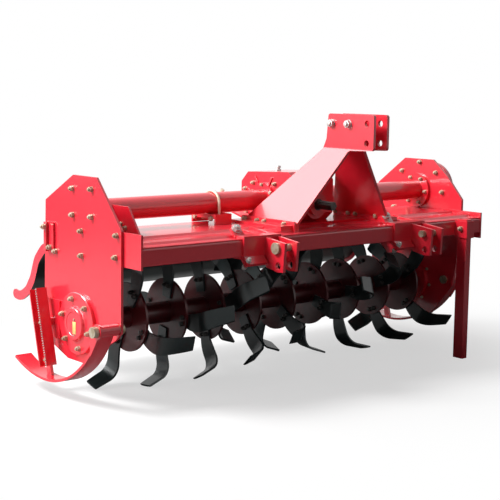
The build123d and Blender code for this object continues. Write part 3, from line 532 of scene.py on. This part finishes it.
# %% Bolts of the mast and tube stands
mast_bolt_row = (-37, -116, -160, -279)
foot_left = edge("mast_base_left", 0, 1) - 10
foot_right = edge("mast_base_right", 0, 0) + 10
spacer_row = ((-330, 748), (-424, 748))
bolt_set(
    "mast_head_nuts", BIG_NUT, (-1, 0, 0), [(-43, *spot) for spot in spacer_row],
    material=silver_zinc,
)
bolt_set(
    "mast_head_bolts", BIG_NUT, (1, 0, 0), [(43, *spot) for spot in spacer_row],
    material=silver_zinc,
)
bolt_set("mast_foot_nuts_left", SMALL_NUT, (-1, 0, 0), [
    (foot_left, back, 354) for back in mast_bolt_row
])
bolt_set("mast_foot_heads_left", SMALL_HEAD, (1, 0, 0), [
    (foot_left + 22, back, 354) for back in mast_bolt_row
])
bolt_set("mast_foot_nuts_right", SMALL_NUT, (1, 0, 0), [
    (foot_right, back, 354) for back in mast_bolt_row
])
bolt_set("mast_foot_heads_right", SMALL_HEAD, (-1, 0, 0), [
    (foot_right - 22, back, 354) for back in mast_bolt_row
])
bolt_set("tube_stand_bolts", SMALL_HEAD, (-1, 0, 0), [
    (-430, -54, 364), (-430, 50, 364), (439, -54, 364), (-890, -95, 375), (-890, -124, 363),
])

# %% [markdown]
# Each hinge strap is stiffened by a bar that stands out from the end plate, with a nut on it. The
# lower hitch brackets are drawn round the beam by bolts through slanted flanges, and a bent tab on
# top carries a second one.

# %% Strap stiffener and hitch bolts
strap_out = edge("tail_hinge_strap_left", 0, 0)
kit = bmesh.new()
slab(kit, (strap_out - 11, 204, 250), (strap_out, 222, 364), 2.0)
lay("strap_stiffener_left", kit, "frame", red_paint)
bolt_set("strap_nuts_left", NUT, (-1, 0, 0), [(strap_out - 11, 213, 345), (strap_out, 190, 267)])
bolt_set("strap_nuts_right", NUT, (1, 0, 0), [(case_in + 20, 196, 345), (case_in + 20, 196, 267)])

SLOPE = (0, -1, 1)
kit = bmesh.new()
tabs = bmesh.new()
for middle in (-406, 406):
    add_copy(kit, NUT, stand(at(middle - 132, -412.5, 244.5), SLOPE))
    add_copy(kit, NUT, stand(at(middle - 132, -396, 225.5), (0, 1, -1), 0.4))
    add_copy(kit, BIG_NUT, stand(at(middle - 122, -326, 354), SLOPE, 0.3))
    add_copy(kit, SMALL_HEAD, stand(at(middle - 122, -319, 347), (0, 1, -1)))
    tab = bmesh.new()
    slab(tab, (-25, -5, -8), (25, 5, 36), 1.5)
    bmesh.ops.translate(tab, vec=-at(0, 0, 0), verts=tab.verts)
    tab_mesh = kept(tab, "tab")
    leaned = Matrix.Rotation(math.radians(-45), 4, "X")
    add_copy(tabs, tab_mesh, Matrix.Translation(at(middle - 118, -341, 332)) @ leaned)
lay("hitch_bolts", kit, "frame", silver_zinc)
lay("hitch_tabs", tabs, "frame", red_paint)

# %% [markdown]
# The gearbox is a heavy casting. A raised rim follows its outline and flat ribs run from the tube's
# flange out to the rim, so thin walls stay stiff. The rim is the outline inset and drawn out, the
# ribs are flat bars turned round the tube, and bolts close the two side covers.

# %% Gearbox rim, ribs and bolts
def rim_frame(kit, corners, width, proud):
    """A raised rim of a flat outline, from (across, back, up) corners, standing out to the left."""
    loop = [kit.verts.new(at(*corner)) for corner in corners]
    face = kit.faces.new(loop)
    made = bmesh.ops.inset_region(kit, faces=[face], thickness=width * MM, use_even_offset=True)
    band = made["faces"]
    bmesh.ops.delete(kit, geom=[face], context="FACES_ONLY")
    raised = bmesh.ops.extrude_face_region(kit, geom=band, use_keep_orig=True)
    moved = [part for part in raised["geom"] if isinstance(part, bmesh.types.BMVert)]
    bmesh.ops.translate(kit, vec=(proud * MM, 0, 0), verts=moved)


BOX_HALF = 110
RIM_WIDTH = 12
RIM_PROUD = 6
RIB_START = 70  # from the tube's axis
box_outline = (
    (146, 341), (146, 490), (104, 532), (-150, 545), (-186, 510), (-186, 372), (-150, 341),
)
box_bolts = ((67, 487), (116, 460), (110, 358), (-70, 490), (-130, 460), (-124, 358))
# turn and outer end of each rib round the tube
box_ribs = ((20, 128), (60, 110), (118, 108), (160, 160), (198, 165), (340, 120))
kit = bmesh.new()
for side in (-1, 1):
    outline = [(side * BOX_HALF, *spot) for spot in box_outline]
    rim_frame(kit, outline, RIM_WIDTH, side * RIM_PROUD)
    for turn, reach in box_ribs:
        before = len(kit.verts)
        slab(
            kit, (side * BOX_HALF, TUBE_BACK + RIB_START, TUBE_UP - 3),
            (side * (BOX_HALF + RIM_PROUD), TUBE_BACK + reach, TUBE_UP + 3),
        )
        kit.verts.ensure_lookup_table()
        bmesh.ops.rotate(
            kit, verts=kit.verts[before:], cent=at(0, TUBE_BACK, TUBE_UP),
            matrix=Matrix.Rotation(math.radians(turn), 3, "X"),
        )
lay("gearbox_ribs", kit, "frame", red_paint)
for side, name in ((-1, "left"), (1, "right")):
    bolt_set("gearbox_bolts_" + name, SMALL_NUT, (side, 0, 0), [
        (side * BOX_HALF, *spot) for spot in box_bolts
    ])
    bolt_set("gearbox_flange_bolts_" + name, TINY_HEAD, (side, 0, 0), (
        ring(side * (BOX_HALF + FLANGE_WALL), TUBE_BACK, TUBE_UP, TUBE_BOLT_RING, 6, 30)
    ))

# %% [markdown]
# Oil goes in through a plug with a breather on top of the gearbox. A black rubber cap closes the
# hole in the tube through which its inside was painted.

# %% Breather and cap
kit = bmesh.new()
turned(kit, 6, 13, 0, 9, 1.5)
turned(kit, 24, 8, 9, 15, 1.0)
turned(kit, 24, 12, 15, 24, 3.0, 10)
breather = kept(kit, "breather")
box_roof = 535  # the roof slopes; this is its height at the breather
kit = bmesh.new()
add_copy(kit, breather, stand(at(-13, 22, box_roof), (0, 0, 1)))
lay("gearbox_plugs", kit, "frame", silver_zinc)
kit = bmesh.new()
turned(kit, 20, 9, -2, 8, 3.0, 8)
cap = kept(kit, "cap")
kit = bmesh.new()
add_copy(kit, cap, stand(at(-960, -2, 463), (0, 0, 1)))
lay("tube_cap", kit, "frame", dark_steel)

# %% [markdown]
# The skid's working depth is set on a toothed channel. Its teeth are small blocks in a row on the
# channel's front lip, given bright silver zinc as a painted highlight on their lit edges. A nut
# holds the channel's pin at the skid's lug, and another tightens the clamp bolt, which stays with
# the frame while the channel slides past it.

# %% Teeth and nuts of the adjusters
TOOTH_PITCH = 9.0
TOOTH_DEPTH = 5.2
TOOTH_HEIGHT = 4.4
LUG_DEPTH = 22  # how far inside the channel's edge the skid's lug and the clamp bolt end
CLAMP_DEPTH = 24
lip_top = Vector((193.5, 112.7))  # back and up of the left channel's front lip
lip_foot = Vector((118.8, -176.7))
lip = lip_foot - lip_top
channel_pin = (150, -160)
clamp_bolt = (185.9, -20.6)
# side, its direction, the channel's outer edge and how far back this skid is set
adjuster_rows = (
    ("left", -1, edge("skid_adjuster_left", 0, 0), 0),
    ("right", 1, edge("skid_adjuster_right", 0, 1), 75),
)
for name, side, outer, shift in adjuster_rows:
    kit = bmesh.new()
    ends = sorted((outer - side * 2, outer + side * 4))
    for tooth in range(int(lip.length / TOOTH_PITCH)):
        back, up = lip_top + lip * ((tooth + 0.5) * TOOTH_PITCH / lip.length)
        back += shift
        slab(
            kit, (ends[0], back - TOOTH_DEPTH / 2, up - TOOTH_HEIGHT / 2),
            (ends[1], back + TOOTH_DEPTH / 2, up + TOOTH_HEIGHT / 2), 0.8,
        )
    # Silver zinc on the teeth is a painted highlight: it makes their lit edges show pale.
    lay("adjuster_teeth_" + name, kit, "adjuster_" + name, silver_zinc)
    bolt_set("adjuster_pin_nut_" + name, SMALL_NUT, (side, 0, 0), [
        (outer - side * LUG_DEPTH, channel_pin[0] + shift, channel_pin[1])
    ], "adjuster_" + name)
    bolt_set("clamp_nut_" + name, SMALL_NUT, (side, 0, 0), [
        (outer - side * CLAMP_DEPTH, clamp_bolt[0] + shift, clamp_bolt[1])
    ])

# %% [markdown]
# The parking leg's socket is pinched by one bolt, and the gear case's cover is sealed by bolts all
# round its rim.

# %% Socket bolt and cover bolts
bolt_set("socket_bolt", NUT, (-1, 0, 0), [(edge("leg_socket", 0, 0), -420, 290)])
# back, up and radius of the bolt row's arc, its first turn and last turn
cover_arcs = ((TUBE_BACK, TUBE_UP, 116, 10, 170, 7), (0, 0, 120, 190, 350, 7))
cover_places = [(cover_out, 126, 210), (cover_out, -126, 210)]
cover_places += [(cover_out, 122, 300), (cover_out, -122, 300)]
cover_places += [(cover_out, 123, 110), (cover_out, -123, 110)]
for back, up, radius, first, last, count in cover_arcs:
    for index in range(count):
        turn = math.radians(first + (last - first) * index / (count - 1))
        cover_places.append(
            (cover_out, back + radius * math.cos(turn), up + radius * math.sin(turn))
        )
bolt_set("cover_bolts", TINY_HEAD, (1, 0, 0), cover_places)

# %% [markdown]
# Every blade is held to its disc by two bolts, heads on the blade's side and nuts on the disc's far
# side. They ride on the rotor and turn with it. The blades' angles follow from how the rotor is
# built: each disc is a ninth of half a turn behind the last.

# %% Blade bolts
DISCS = 9
first_disc = plate_in + 209
disc_pitch = (case_in - 127 - first_disc) / (DISCS - 1)
BLADE_WALL = 8
DISC_WALL = 10
DISC_TURN = 20  # degrees from each disc to the next
FIRST_SHANK = -60  # degrees from straight back to the first blade's shank
BOLT_RADIUS = 112
BOLT_OFFSET = 13  # each side of the shank's middle
heads = bmesh.new()
for disc in range(DISCS):
    across = first_disc + disc * disc_pitch
    for quarter in range(4):
        hand = -1 if quarter % 2 == 0 else 1
        shank = math.radians(FIRST_SHANK - disc * DISC_TURN - quarter * 90)
        for side in (-BOLT_OFFSET, BOLT_OFFSET):
            turn = shank + side / BOLT_RADIUS
            back, up = BOLT_RADIUS * math.cos(turn), BOLT_RADIUS * math.sin(turn)
            blade_face = across + hand * (DISC_WALL / 2 + BLADE_WALL)
            disc_face = across - hand * DISC_WALL / 2
            add_copy(heads, SMALL_NUT, stand(at(blade_face, back, up), (hand, 0, 0), turn))
            add_copy(heads, SMALL_HEAD, stand(at(disc_face, back, up), (-hand, 0, 0), turn))
lay("blade_bolts", heads, "rotor", dark_steel)

# %% [markdown]
# A studio shot of a machine has a white floor that runs up into a white wall, and large soft
# lamps. The floor is a pale sheet that keeps the shadow. To the camera it also glows, a little
# under the machine and fully further off, so that it meets the white wall without a line; to the
# machine it is a darker grey, which keeps the faces turned to the tractor in shade. The white
# beyond comes from the world, which camera, glossy and transmission rays see at full strength, and
# which lights the machine only with a faint fill.

# %% Floor, world and lamps
floor_mesh = bpy.data.meshes.new("floor")
sheet = bmesh.new()
bmesh.ops.create_circle(sheet, cap_ends=True, radius=14.0, segments=96)
sheet.to_mesh(floor_mesh)
sheet.free()
floor = bpy.data.objects.new("floor", floor_mesh)
bpy.context.scene.collection.objects.link(floor)

ground = Finish("floor")
squeezed = ground.node("Mapping", inputs={"Vector": ground.place(), "Scale": (0.8, 1.15, 1)})
distance = ground.node("VectorMath", {"operation": "LENGTH"}, {0: squeezed}, output="Value")
away = ground.step(distance, 0.6, 1.7) * 0.4 + 0.6
seen = ground.node("LightPath", output="Is Camera Ray")
tone = ground.mix(seen, rgb(0.30, 0.30, 0.30), rgb(0.90, 0.90, 0.90))
matt = ground.node("BsdfDiffuse", inputs={"Color": tone})
glow = ground.node("Emission", inputs={"Color": rgb(1, 1, 1), "Strength": 1.0})
blend = ground.node("MixShader", inputs={0: away * seen, 1: matt, 2: glow})
ground.node("OutputMaterial", inputs={"Surface": blend})
floor_mesh.materials.append(ground.material)

world = bpy.data.worlds.new("studio")
bpy.context.scene.world = world
world.use_nodes = True
sky = world.node_tree
sky.nodes.clear()
rays = sky.nodes.new("ShaderNodeLightPath")
seen_white = rays.outputs["Is Camera Ray"]
for ray in ("Is Glossy Ray", "Is Transmission Ray"):
    either = sky.nodes.new("ShaderNodeMath")
    either.operation = "MAXIMUM"
    sky.links.new(seen_white, either.inputs[0])
    sky.links.new(rays.outputs[ray], either.inputs[1])
    seen_white = either.outputs[0]
level = sky.nodes.new("ShaderNodeMapRange")
level.inputs["To Min"].default_value = 0.08
level.inputs["To Max"].default_value = 1.0
sky.links.new(seen_white, level.inputs["Value"])
light = sky.nodes.new("ShaderNodeBackground")
light.inputs["Color"].default_value = (1, 1, 1, 1)
sky.links.new(level.outputs[0], light.inputs["Strength"])
result = sky.nodes.new("ShaderNodeOutputWorld")
sky.links.new(light.outputs[0], result.inputs[0])

# name, place, width, height, watts
lamps = (
    ("key", (-3.3, 1.5, 4.0), 1.6, 1.6, 360),
    ("rear", (-1.5, 2.9, 3.1), 3.2, 2.4, 110),
    ("side", (-4.8, 1.5, 1.5), 2.0, 1.4, 90),
)
aim = Vector((0, 0, 0.4))
for name, place, width, height, watts in lamps:
    data = bpy.data.lights.new(name, "AREA")
    data.shape = "RECTANGLE"
    data.size = width
    data.size_y = height
    data.energy = watts
    lamp = bpy.data.objects.new(name, data)
    lamp.location = place
    lamp.rotation_euler = (aim - Vector(place)).to_track_quat("-Z", "Y").to_euler()
    bpy.context.scene.collection.objects.link(lamp)
print("lamps:", len(lamps))
